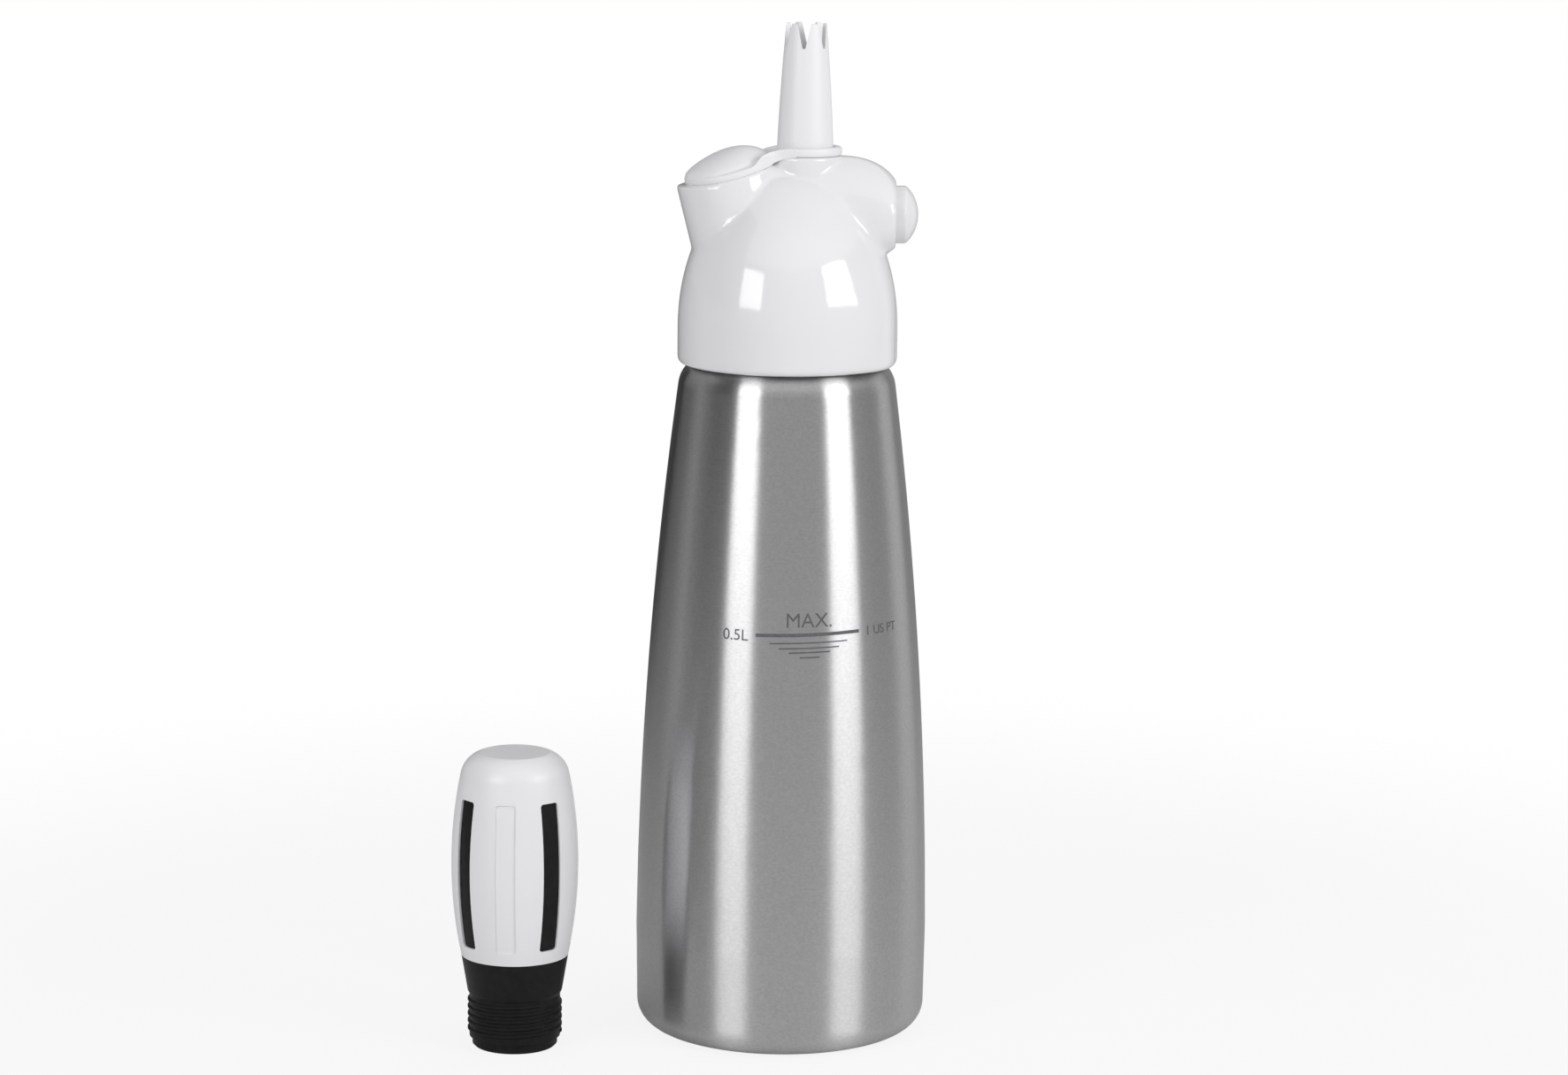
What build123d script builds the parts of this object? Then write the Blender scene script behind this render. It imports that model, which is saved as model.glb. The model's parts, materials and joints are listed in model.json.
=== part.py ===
from build123d import *
import math
import os

# Cream whipper with its charger holder standing beside it.
# Origin: centre of the bottle's base, +Z up, +X towards the push button.
# All sizes are millimetres, all angles degrees.

# Clearances
slide_clearance = 0.06  # shaft in its hole, each side
screw_clearance = 0.15  # male thread in its plain female bore, each side
moving_gap = 0.3  # between bodies that move apart
press_gap = 0.03  # between pieces of one body that are pressed together

# Bottle
bottle_wall = 0.8
base_radius = 39.6
base_corner = 7.0
belly_radius = 39.9
belly_height = 28.0
waist_radius = 36.9
waist_height = 103.4
shoulder_radius = 29.4
shoulder_height = 178.6
neck_radius = 22.4
neck_wall = 1.8
neck_rise = 7.0  # from the shoulder to the neck's foot
neck_length = 17.4

# Thread between the bottle's neck and the head
neck_thread_pitch = 4.0
neck_thread_depth = 1.0
neck_thread_length = 10.0
neck_thread_start = 3.4  # above the neck's foot

# Head housing
skirt_wall = 3.75  # around the threaded insert
skirt_overlap = 1.6  # below the neck's foot
skirt_band = 10.0
skirt_edge_radius = 1.8
skirt_lip_wall = 2.3
skirt_lip_depth = 3.2
dome_cut_height = 41.0  # above the skirt, where the seat of the nozzle takes over
dome_crown = 2.5  # what the half ellipse would still rise above that cut
insert_wall = 2.4
gasket_thickness = 2.6
gasket_inner_radius = 18.0

# Valve body across the head, an elliptical barrel along X
valve_rise = 19.0  # the valve's axis above the ceiling over the bottle's neck
barrel_rise = 1.4  # the barrel's axis above the valve's
barrel_half_height = 14.4
barrel_half_width = 12.0
barrel_back = -6.0
barrel_shoulder = 12.0
barrel_nose = 16.9  # from the shoulder to the end face
barrel_nose_runout = 2.0  # how much longer the nose's curve would run
barrel_end_radius = 8.8
barrel_nose_power = 2.5
barrel_nose_steps = 6

# Valve, from its chamber outwards
chamber_radius = 2.8
cartridge_start = 2.4
cartridge_radius = 4.2
cartridge_length = 11.1
seat_thickness = 1.2
seat_bore_radius = 2.0
outlet_chamber_length = 4.4
outlet_chamber_radius = 3.0
feed_radius = 2.0
port_radius = 1.5
port_inset = 0.4
poppet_radius = 2.5
poppet_thickness = 1.6
stem_radius = 1.3
stem_head_radius = 2.2
stem_head_thickness = 0.8
o_ring_width = 1.6
o_ring_height = 1.2

# Push button
button_radius = 7.75
button_skirt_gap = 1.6  # left between its skirt and the cartridge when pressed
button_dome = 3.0
button_wall = 1.6
button_cover = 2.0  # solid plastic beyond the end of the stem
button_hub_radius = 3.0
button_hub_gap = 6.0  # from the skirt's edge to the hub's edge
button_travel = 2.5
spring_radius = 3.9
spring_wire = 0.6
spring_turns = 6

# Outlet stem and decorating nozzle
outlet_x = 4.2
seat_radius = 9.9
outlet_stem_radius = 3.9
outlet_bore_radius = 2.2
outlet_stem_foot_gap = 3.2  # above the valve cartridge
outlet_stem_rise = 9.8  # above its seat
outlet_thread_pitch = 3.0
outlet_thread_depth = 0.5
outlet_thread_length = 6.0
outlet_thread_margin = 1.6  # between the thread's end and the stem's top
washer_thickness = 1.0
nozzle_base_radius = 7.5
nozzle_waist_radius = 6.65
nozzle_waist_rise = 19.1
nozzle_tip_radius = 5.4
nozzle_length = 35.2
nozzle_straight = 3.6
nozzle_wall = 1.1
nozzle_tooth_count = 6
nozzle_notch_depth = 6.6
nozzle_notch_top = 3.8
nozzle_notch_bottom = 1.0
nozzle_notch_angle = -7.0  # of the first notch from the front

# Inlet for the charger holder, tilted to the left
inlet_x = -15.2
inlet_drop = 4.8  # the centre of its rim below the nozzle's seat
inlet_tilt = 15.6
inlet_rim_radius = 14.15
inlet_rim_shift = 1.4  # the boss's outline to the left of the socket's axis
inlet_foot_depth = 19.0
inlet_foot_radius_x = 14.65
inlet_foot_radius_y = 16.5
socket_depth = 10.5
carrier_radius = 5.0
carrier_length = 6.0
gas_channel_radius = 1.2
pin_radius = 1.1
pin_height = 4.0
pin_point = 1.6
pin_bore_radius = 0.4
pin_tip_radius = 0.5
charger_seal_radius = 4.4
charger_seal_height = 1.4
check_valve_length = 2.0

# Dust cap of the inlet and the strap that keeps it
cap_overlap = 0.2  # over the edge of the socket
cap_band = 2.1
cap_rise = 6.1
cap_wall = 1.6
plug_depth = 2.0
plug_wall = 1.0
plug_clearance = 0.55  # its far side swings outwards as the cap lifts
hinge_x = -5.05
hinge_rise = 1.4  # above the nozzle's seat
ring_thickness = 2.9
ring_radius = 9.9
web_half_width = 6.8
web_root_angle = 70.0  # where the web meets the ring, from the ring's back

# Charger holder, standing beside the bottle
holder_x = -72.0
holder_y = -25.5
charger_bore_radius = 9.2
charger_bore_depth = 64.0
holder_pad_radius = 8.6
holder_pad_thickness = 3.0
holder_nose_radius = 11.5
holder_nose_height = 2.7
holder_nose_bevel = 0.6
holder_thread_radius = 12.8
holder_thread_depth = 0.5
holder_thread_pitch = 2.0
holder_neck_height = 15.4
holder_thread_runout = 1.0
holder_collar_radius = 14.5
holder_collar_rise = 10.0
holder_belly_radius = 17.1
holder_belly_height = 53.2
holder_shoulder_radius = 14.6
holder_shoulder_drop = 5.6  # below the top
holder_height = 81.1
holder_top_radius = 9.3
grip_wall = 1.5
grip_angle = -5.5  # from the front to the middle of the front panel
slot_count = 4
slot_width = 5.5
slot_bottom_gap = 3.7  # above the collar
slot_top_gap = 11.3  # below the top
slot_corner = 0.9
panel_depth = 0.35

# Sizes that follow from the ones above
neck_foot_height = shoulder_height + neck_rise
neck_top_height = neck_foot_height + neck_length
neck_bore_radius = neck_radius - neck_wall
neck_thread_radius = neck_radius + neck_thread_depth
insert_bore_radius = neck_thread_radius + screw_clearance
insert_radius = insert_bore_radius + insert_wall
ceiling_height = neck_top_height + gasket_thickness
skirt_radius = insert_radius + skirt_wall
skirt_bottom_height = neck_foot_height - skirt_overlap
skirt_top_height = skirt_bottom_height + skirt_band
lip_radius = skirt_radius - skirt_lip_wall
dome_height = dome_cut_height + dome_crown
valve_height = ceiling_height + valve_rise
barrel_height = valve_height + barrel_rise
barrel_length = barrel_shoulder + barrel_nose
seat_height = barrel_height + barrel_half_height
cartridge_end = cartridge_start + cartridge_length
stem_head_start = cartridge_start - poppet_thickness - stem_head_thickness
chamber_start = stem_head_start - button_travel - moving_gap
button_skirt_start = cartridge_end + button_travel + button_skirt_gap
button_rim = barrel_length + button_travel
button_tip = button_rim + button_dome
stem_end = button_rim - button_cover
outlet_chamber_start = cartridge_start + seat_thickness
guide_start = outlet_chamber_start + outlet_chamber_length
port_x = outlet_chamber_start + port_radius + port_inset
button_bore_radius = button_radius + slide_clearance
outlet_stem_foot = valve_height + cartridge_radius + outlet_stem_foot_gap
outlet_stem_top = seat_height + outlet_stem_rise
outlet_thread_radius = outlet_stem_radius + outlet_thread_depth
nozzle_bore_radius = outlet_thread_radius + screw_clearance
nozzle_web_height = outlet_stem_top + washer_thickness
nozzle_waist_height = seat_height + nozzle_waist_rise
nozzle_tip_height = seat_height + nozzle_length
inlet_height = seat_height - inlet_drop
hinge_height = seat_height + hinge_rise
socket_radius = holder_thread_radius + screw_clearance
cap_radius = socket_radius + cap_overlap
spotface_radius = inlet_rim_radius + moving_gap
check_valve_start = socket_depth + carrier_length - check_valve_length
holder_collar_height = holder_neck_height + holder_collar_rise
holder_shoulder_height = holder_height - holder_shoulder_drop
slot_bottom_height = holder_collar_height + slot_bottom_gap
slot_top_height = holder_height - slot_top_gap
holder_seat_height = charger_bore_depth + holder_pad_thickness

tilt = math.radians(inlet_tilt)
inlet_place = Plane(
    origin=(inlet_x, 0, inlet_height),
    x_dir=(math.cos(tilt), 0, math.sin(tilt)),
    z_dir=(-math.sin(tilt), 0, math.cos(tilt)),
).location
outlet_place = Pos(outlet_x, 0, 0)
valve_place = Location((0, 0, valve_height), (0, 90, 0))
holder_place = Pos(holder_x, holder_y, 0)


def disc(radius, low, high):
    """Upright cylinder between two heights."""
    return Pos(0, 0, (low + high) / 2) * Cylinder(radius, high - low)


def tube(outer, inner, low, high):
    """Upright tube between two heights."""
    overshoot = 1.0
    return disc(outer, low, high) - disc(inner, low - overshoot, high + overshoot)


def turned(*edges):
    """Solid of revolution about Z of an outline drawn in the XZ plane."""
    return revolve(Plane.XZ * make_face(list(edges)), Axis.Z)


def ellipse_curve(centre_height, radius, height, angle):
    """Quarter ellipse, or the lower part of one, from its widest point upwards."""
    steps = 6
    points = []
    for step in range(steps + 1):
        turn = math.radians(angle * step / steps)
        points.append(
            (radius * math.cos(turn), centre_height + height * math.sin(turn))
        )
    end = (-radius * math.sin(turn), height * math.cos(turn))
    return Spline(*points, tangents=[(0, 1), end])


def thread(root_radius, depth, pitch, length, start):
    """Helical ridge whose flanks run on into the shaft that carries it."""
    sunk = 0.3
    root_share = 0.31
    crest_share = 0.11
    root_half = root_share * pitch
    crest_half = crest_share * pitch
    sunk_half = root_half + (root_half - crest_half) / depth * sunk
    path = Helix(pitch, length, root_radius, center=(0, 0, start))
    section = make_face(
        Polyline(
            (-sunk, -sunk_half),
            (depth, -crest_half),
            (depth, crest_half),
            (-sunk, sunk_half),
            close=True,
        )
    )
    at_start = Plane(
        origin=(root_radius, 0, start), x_dir=(1, 0, 0), z_dir=(0, -1, 0)
    )
    return sweep(at_start * section, path=path, is_frenet=True)


def bottle_body(inset, neck, top):
    """Bottle outline moved inwards by inset, filled to the axis."""
    corner = base_corner - inset
    base = Line((0, inset), (base_radius - base_corner, inset))
    curve = CenterArc((base_radius - base_corner, base_corner), corner, -90, 90)
    rise = Line(curve @ 1, (belly_radius - inset, belly_height))
    flank = ThreePointArc(
        rise @ 1,
        (waist_radius - inset, waist_height),
        (shoulder_radius - inset, shoulder_height),
    )
    shoulder = TangentArc(
        flank @ 1, (neck_radius, neck_foot_height - inset), tangent=flank % 1
    )
    riser = Line((neck, neck_foot_height - inset), (neck, top))
    lid = Line((neck, top), (0, top))
    axis = Line((0, top), (0, inset))
    edges = [base, curve, rise, flank, shoulder, riser, lid, axis]
    if inset:
        edges.insert(5, Line(shoulder @ 1, riser @ 0))
    return turned(*edges)


def bottle():
    overshoot = 1.0
    outside = bottle_body(0, neck_radius, neck_top_height)
    inside = bottle_body(bottle_wall, neck_bore_radius, neck_top_height + overshoot)
    ridge = thread(
        neck_radius,
        neck_thread_depth,
        neck_thread_pitch,
        neck_thread_length,
        neck_foot_height + neck_thread_start,
    )
    return outside + ridge - inside


def head_dome():
    """Skirt and dome, half an ellipse above a plain band."""
    top = skirt_top_height + dome_cut_height
    cut_angle = math.degrees(math.asin(dome_cut_height / dome_height))
    corner = skirt_edge_radius
    floor = Line((0, skirt_bottom_height), (skirt_radius - corner, skirt_bottom_height))
    edge = CenterArc(
        (skirt_radius - corner, skirt_bottom_height + corner), corner, -90, 90
    )
    band = Line(edge @ 1, (skirt_radius, skirt_top_height))
    crown = ellipse_curve(skirt_top_height, skirt_radius, dome_height, cut_angle)
    lid = Line(crown @ 1, (0, top))
    axis = Line((0, top), (0, skirt_bottom_height))
    return turned(floor, edge, band, crown, lid, axis)


def barrel_section(x, share):
    """Elliptical section of the valve body, from full size at 1 to its end at 0."""
    height = barrel_end_radius + share * (barrel_half_height - barrel_end_radius)
    width = barrel_end_radius + share * (barrel_half_width - barrel_end_radius)
    centre = valve_height + share * (barrel_height - valve_height)
    place = Plane(origin=(x, 0, centre), x_dir=(0, 1, 0), z_dir=(1, 0, 0))
    return place * Ellipse(width, height)


def head_barrel():
    """Valve body whose nose rounds off towards the button."""
    full_run = barrel_nose + barrel_nose_runout
    end_share = (1 - (barrel_nose / full_run) ** barrel_nose_power) ** (
        1 / barrel_nose_power
    )
    sections = [barrel_section(barrel_shoulder, 1)]
    for step in range(1, barrel_nose_steps + 1):
        run = barrel_nose * math.sin(math.pi / 2 * step / barrel_nose_steps)
        round_share = (1 - (run / full_run) ** barrel_nose_power) ** (
            1 / barrel_nose_power
        )
        share = (round_share - end_share) / (1 - end_share)
        sections.append(barrel_section(barrel_shoulder + run, share))
    straight = loft([barrel_section(barrel_back, 1), sections[0]])
    return straight + loft(sections)


def inlet_boss():
    """Boss that widens from its round rim to an oval foot inside the dome."""
    rim = Circle(inlet_rim_radius)
    foot = Pos(0, 0, -inlet_foot_depth) * Ellipse(
        inlet_foot_radius_x, inlet_foot_radius_y
    )
    return inlet_place * Pos(-inlet_rim_shift, 0, 0) * loft([foot, rim])


def along_valve(radius, start, end):
    """Cylinder on the valve's axis between two X places."""
    return valve_place * disc(radius, start, end)


def head_cavities():
    """Everything that is hollow in the head housing."""
    deep = 60.0
    neck_room = disc(
        insert_radius + press_gap, skirt_bottom_height - 1, ceiling_height
    )
    lip = disc(lip_radius, skirt_bottom_height - 1, skirt_bottom_height + skirt_lip_depth)
    chamber = along_valve(chamber_radius, chamber_start, cartridge_start + 1)
    cartridge_bore = along_valve(
        cartridge_radius + press_gap, cartridge_start, cartridge_end + 1
    )
    button_bore = along_valve(button_bore_radius, cartridge_end, deep)
    feed = disc(feed_radius, ceiling_height - 1, valve_height)
    port = Pos(port_x, 0, 0) * disc(port_radius, valve_height, outlet_stem_foot + 1)
    stem_bore = outlet_place * disc(
        outlet_stem_radius + press_gap, outlet_stem_foot, seat_height + 1
    )
    socket = inlet_place * disc(socket_radius, -socket_depth, deep)
    carrier_bore = inlet_place * disc(
        carrier_radius + press_gap, -socket_depth - carrier_length, deep
    )
    gas_channel = inlet_place * disc(gas_channel_radius, -deep, 0)
    gas_channel -= disc(insert_radius, 0, ceiling_height - 1)
    spotface = inlet_place * Pos(-inlet_rim_shift, 0, 0) * disc(spotface_radius, 0, deep)
    return [
        neck_room,
        lip,
        chamber,
        cartridge_bore,
        button_bore,
        feed,
        port,
        stem_bore,
        socket,
        carrier_bore,
        gas_channel,
        spotface,
    ]


def head_housing():
    seat = outlet_place * disc(seat_radius, barrel_height, seat_height)
    outside = head_dome() + head_barrel() + inlet_boss() + seat
    return outside - head_cavities()


def neck_insert():
    """Ring inside the housing that takes the bottle's thread."""
    return tube(
        insert_radius,
        insert_bore_radius,
        skirt_bottom_height + skirt_lip_depth,
        ceiling_height,
    )


def head_gasket():
    return tube(
        neck_radius, gasket_inner_radius, neck_top_height, ceiling_height
    )


def valve_cartridge():
    """Sleeve with the valve seat, the outlet chamber and the stem's guide."""
    body = along_valve(cartridge_radius, cartridge_start, cartridge_end)
    seat_bore = along_valve(seat_bore_radius, cartridge_start - 1, guide_start)
    room = along_valve(outlet_chamber_radius, outlet_chamber_start, guide_start)
    ring_room = along_valve(
        stem_radius + o_ring_height + press_gap,
        guide_start,
        guide_start + o_ring_width,
    )
    guide = along_valve(
        stem_radius + slide_clearance, cartridge_start, cartridge_end + 1
    )
    port = Pos(port_x, 0, 0) * disc(
        port_radius, valve_height, valve_height + 2 * cartridge_radius
    )
    groove = outer_ring_groove(0)
    return body - [seat_bore, room, ring_room, guide, port, groove]


def outer_ring_groove(gap):
    """Room, or with a gap the ring itself, between cartridge and housing."""
    start = guide_start + o_ring_width
    low = cartridge_radius - o_ring_height + gap
    ring = disc(cartridge_radius, start + gap, start + o_ring_width - gap)
    return valve_place * (ring - disc(low, start - 1, start + o_ring_width + 1))


def cartridge_o_ring():
    return outer_ring_groove(press_gap)


def stem_o_ring():
    inner = stem_radius + slide_clearance
    ring = tube(
        stem_radius + o_ring_height,
        inner,
        guide_start + press_gap,
        guide_start + o_ring_width,
    )
    return valve_place * ring


def valve_stem():
    """Rod from the poppet to the button, with a head behind the poppet."""
    head_end = stem_head_start + stem_head_thickness
    rod = along_valve(stem_radius, stem_head_start, stem_end)
    head = along_valve(stem_head_radius, stem_head_start, head_end)
    return rod + head


def valve_seal():
    """Rubber poppet that closes the seat from the chamber's side."""
    ring = tube(
        poppet_radius,
        stem_radius + press_gap,
        cartridge_start - poppet_thickness,
        cartridge_start,
    )
    return valve_place * ring


def push_button():
    """Cup with a domed end whose hub sits on the valve stem."""
    height = button_tip - button_rim
    side = Line(
        (button_radius, button_skirt_start), (button_radius, button_rim)
    )
    dome = ellipse_curve(button_rim, button_radius, height, 90)
    axis = Line(dome @ 1, (0, button_skirt_start))
    floor = Line((0, button_skirt_start), (button_radius, button_skirt_start))
    body = turned(floor, side, dome, axis)
    hollow = tube(
        button_radius - button_wall,
        button_hub_radius,
        button_skirt_start - 1,
        button_rim - button_wall,
    )
    before_hub = disc(
        button_hub_radius + 1,
        button_skirt_start - 1,
        button_skirt_start + button_hub_gap,
    )
    stem_hole = disc(stem_radius + press_gap, button_skirt_start - 1, stem_end)
    return valve_place * (body - hollow - before_hub - stem_hole)


def button_spring():
    """Round wire coil between the cartridge and the button."""
    seat_end = button_rim - button_wall - spring_wire / 2 - press_gap
    start = cartridge_end + spring_wire / 2 + press_gap
    height = seat_end - start
    path = Helix(height / spring_turns, height, spring_radius, center=(0, 0, start))
    section = Plane(origin=path @ 0, z_dir=path % 0) * Circle(spring_wire / 2)
    return valve_place * sweep(section, path=path, is_frenet=True)


def outlet_stem():
    """Hollow stem that carries the nozzle's thread."""
    shaft = disc(outlet_stem_radius, outlet_stem_foot, outlet_stem_top)
    ridge = thread(
        outlet_stem_radius,
        outlet_thread_depth,
        outlet_thread_pitch,
        outlet_thread_length,
        outlet_stem_top - outlet_thread_length - outlet_thread_margin,
    )
    bore = disc(outlet_bore_radius, outlet_stem_foot - 1, outlet_stem_top + 1)
    return outlet_place * (shaft + ridge - bore)


def nozzle_washer():
    ring = tube(
        outlet_stem_radius,
        outlet_bore_radius,
        outlet_stem_top,
        nozzle_web_height,
    )
    return outlet_place * ring


def nozzle_notch(index):
    """Cutter of one V notch with a round bottom, between two star teeth."""
    bottom = nozzle_tip_height - nozzle_notch_depth
    half = nozzle_notch_bottom / 2
    overshoot = 1.0
    grow = (nozzle_notch_top / 2 - half) / nozzle_notch_depth * overshoot
    outline = make_face(
        Polyline(
            (-half, bottom + half),
            (-nozzle_notch_top / 2 - grow, nozzle_tip_height + overshoot),
            (nozzle_notch_top / 2 + grow, nozzle_tip_height + overshoot),
            (half, bottom + half),
            close=True,
        )
    )
    outline += Pos(0, bottom + half) * Circle(half)
    cutter = extrude(Plane.XZ * outline, 2 * nozzle_base_radius)
    return Rot(0, 0, nozzle_notch_angle + index * 360 / nozzle_tooth_count) * cutter


def decorator_nozzle():
    """Curved tapering nozzle with a star of teeth at its tip."""
    foot = seat_height
    straight_top = foot + nozzle_straight
    tip = nozzle_tip_height
    bottom = Line((0, foot), (nozzle_base_radius, foot))
    side = Line(bottom @ 1, (nozzle_base_radius, straight_top))
    flank = ThreePointArc(
        side @ 1, (nozzle_waist_radius, nozzle_waist_height), (nozzle_tip_radius, tip)
    )
    lid = Line(flank @ 1, (0, tip))
    axis = Line((0, tip), (0, foot))
    body = turned(bottom, side, flank, lid, axis)
    thread_room = disc(nozzle_bore_radius, foot - 1, nozzle_web_height)
    web_hole = disc(outlet_bore_radius, foot, tip)
    web_top = nozzle_web_height + nozzle_wall
    room_radius = nozzle_waist_radius - nozzle_wall
    mouth_radius = nozzle_tip_radius - nozzle_wall
    room_height = tip - web_top + 1
    room = Pos(0, 0, web_top + room_height / 2) * Cone(
        room_radius, mouth_radius, room_height
    )
    notches = [nozzle_notch(index) for index in range(nozzle_tooth_count)]
    return outlet_place * (body - [thread_room, web_hole, room] - notches)


def cap_strap():
    """Ring under the nozzle with the web that reaches for the cap."""
    top = seat_height + ring_thickness
    gap_end = hinge_x + moving_gap / 2
    root = math.radians(web_root_angle)
    root_x = outlet_x - ring_radius * math.cos(root)
    root_y = ring_radius * math.sin(root)
    ring = outlet_place * disc(ring_radius, seat_height, top)
    side = make_face(
        Curve()
        + [
            Line((gap_end, seat_height), (gap_end, hinge_height)),
            Spline(
                (gap_end, hinge_height),
                (outlet_x - seat_radius / 2, top),
                tangents=[(1, 0), (1, 0)],
            ),
            Line((outlet_x - seat_radius / 2, top), (outlet_x, top)),
            Line((outlet_x, top), (outlet_x, seat_height)),
            Line((outlet_x, seat_height), (gap_end, seat_height)),
        ]
    )
    plate = extrude(Plane.XZ * side, ring_radius, both=True)
    plan = make_face(
        Polyline(
            (gap_end, -web_half_width),
            (root_x, -root_y),
            (outlet_x, -root_y),
            (outlet_x, root_y),
            (root_x, root_y),
            (gap_end, web_half_width),
            close=True,
        )
    )
    outline = extrude(Pos(0, 0, seat_height) * plan, ring_thickness)
    ring -= Pos(gap_end - ring_radius, 0, seat_height) * Box(
        2 * ring_radius, 4 * ring_radius, 4 * ring_thickness
    )
    hole = outlet_place * disc(
        nozzle_base_radius + moving_gap, seat_height - 1, top + 1
    )
    return ring + (plate & outline) - hole


def inlet_cap():
    """Domed dust cap with a plug ring, cut straight where the strap begins."""
    sphere_radius = (cap_radius**2 + (cap_rise - cap_band) ** 2) / (
        2 * (cap_rise - cap_band)
    )
    inner_radius = cap_radius - cap_wall
    inner_rise = cap_rise - cap_wall
    outside = disc(cap_radius, 0, cap_band)
    ball = Pos(0, 0, cap_rise - sphere_radius) * Sphere(sphere_radius)
    outside += ball & disc(cap_radius, cap_band, cap_rise + 1)
    room_ball = Pos(0, 0, inner_rise - sphere_radius) * Sphere(sphere_radius)
    room = room_ball & disc(inner_radius - plug_wall, -1, cap_rise)
    plug_radius = socket_radius - plug_clearance
    plug = tube(plug_radius, plug_radius - plug_wall, -plug_depth, cap_band / 2)
    cap = inlet_place * (outside - room + plug)
    side = 4 * cap_radius
    cut_x = hinge_x - moving_gap / 2
    beyond = Pos(cut_x + side / 2, 0, hinge_height) * Box(side, side, side)
    return cap - beyond


def pin_carrier():
    """Screwed-in bush that holds the piercing pin, the seal and the check valve."""
    low = -socket_depth - carrier_length
    body = disc(carrier_radius, low, -socket_depth)
    seal_room = disc(
        charger_seal_radius + press_gap,
        -socket_depth - charger_seal_height,
        -socket_depth + 1,
    )
    pin_hole = disc(pin_radius + press_gap, low - 1, 1)
    valve_room = disc(
        charger_seal_radius + press_gap, low - 1, low + check_valve_length
    )
    return inlet_place * (body - [seal_room, pin_hole, valve_room])


def piercing_pin():
    """Hollow pointed pin that opens the charger."""
    low = -check_valve_start
    high = -socket_depth + pin_height - pin_point
    shaft = disc(pin_radius, low, high)
    point = Pos(0, 0, high + pin_point / 2) * Cone(
        pin_radius, pin_tip_radius, pin_point
    )
    bore = disc(pin_bore_radius, low - 1, high + pin_point + 1)
    return inlet_place * (shaft + point - bore)


def charger_seal():
    return inlet_place * tube(
        charger_seal_radius,
        pin_radius + press_gap,
        -socket_depth - charger_seal_height,
        -socket_depth,
    )


def gas_check_valve():
    """Rubber disc under the pin that lets gas down and nothing back up."""
    low = -socket_depth - carrier_length
    disc_body = disc(charger_seal_radius, low, -check_valve_start)
    slit = disc(gas_channel_radius, low - 1, low + check_valve_length / 2)
    return inlet_place * (disc_body - slit)


def holder_outline(inset):
    """Barrel of the holder above its collar, moved inwards and filled."""
    top = holder_height - inset
    foot = Line((0, holder_collar_height), (holder_collar_radius - inset, holder_collar_height))
    flank = ThreePointArc(
        foot @ 1,
        (holder_belly_radius - inset, holder_belly_height),
        (holder_shoulder_radius - inset, holder_shoulder_height),
    )
    crown = TangentArc(
        flank @ 1, (holder_top_radius, top), tangent=flank % 1
    )
    lid = Line(crown @ 1, (0, top))
    axis = Line((0, top), (0, holder_collar_height))
    return turned(foot, flank, crown, lid, axis)


def slot_cutter(index, extra):
    """Upright rounded slot, reaching in from the outside."""
    height = slot_top_height - slot_bottom_height
    middle = (slot_top_height + slot_bottom_height) / 2
    outline = Pos(0, middle) * RectangleRounded(slot_width, height, slot_corner)
    cutter = extrude(Plane.XZ * outline, 2 * holder_belly_radius)
    return Rot(0, 0, grip_angle + (index + extra) * 360 / slot_count) * cutter


def holder_grip():
    """White shell with through slots and shallow panels between them."""
    shell = holder_outline(0) - holder_outline(grip_wall)
    slots = [slot_cutter(index, 0.5) for index in range(slot_count)]
    panels = [slot_cutter(index, 0) for index in range(slot_count)]
    floor = holder_outline(panel_depth)
    return holder_place * (shell - slots - [panel - floor for panel in panels])


def holder_sleeve():
    """Black core with the male thread and the bore for the gas charger."""
    root = holder_thread_radius - holder_thread_depth
    bevel = holder_nose_bevel
    core = holder_outline(grip_wall + press_gap)
    shank = turned(
        Polyline(
            (0, 0),
            (holder_nose_radius - bevel, 0),
            (holder_nose_radius, bevel),
            (holder_nose_radius, holder_nose_height),
            (root, holder_nose_height),
            (root, holder_neck_height - holder_thread_runout),
            (holder_thread_radius, holder_neck_height),
            (holder_collar_radius, holder_collar_height),
            (0, holder_collar_height),
            close=True,
        )
    )
    thread_start = holder_nose_height + holder_thread_pitch / 2
    thread_end = holder_neck_height - holder_thread_runout - holder_thread_pitch / 2
    ridge = thread(
        root,
        holder_thread_depth,
        holder_thread_pitch,
        thread_end - thread_start,
        thread_start,
    )
    bore = disc(charger_bore_radius, -1, charger_bore_depth)
    recess = disc(holder_pad_radius, charger_bore_depth - 1, holder_seat_height)
    return holder_place * (core + shank + ridge - bore - recess)


def holder_pad():
    """Soft disc at the bottom of the holder's bore that presses the charger."""
    return holder_place * disc(
        holder_pad_radius - press_gap, charger_bore_depth, holder_seat_height
    )


pieces = {
    "bottle": bottle,
    "head_housing": head_housing,
    "neck_insert": neck_insert,
    "head_gasket": head_gasket,
    "valve_cartridge": valve_cartridge,
    "cartridge_o_ring": cartridge_o_ring,
    "stem_o_ring": stem_o_ring,
    "valve_stem": valve_stem,
    "valve_seal": valve_seal,
    "push_button": push_button,
    "button_spring": button_spring,
    "outlet_stem": outlet_stem,
    "nozzle_washer": nozzle_washer,
    "decorator_nozzle": decorator_nozzle,
    "cap_strap": cap_strap,
    "inlet_cap": inlet_cap,
    "pin_carrier": pin_carrier,
    "piercing_pin": piercing_pin,
    "charger_seal": charger_seal,
    "gas_check_valve": gas_check_valve,
    "holder_sleeve": holder_sleeve,
    "holder_grip": holder_grip,
    "holder_pad": holder_pad,
}

os.makedirs("parts", exist_ok=True)
for name, make in pieces.items():
    export_step(make(), os.path.join("parts", name + ".step"))
    print(name, "written")
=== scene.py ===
import json
import math

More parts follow.
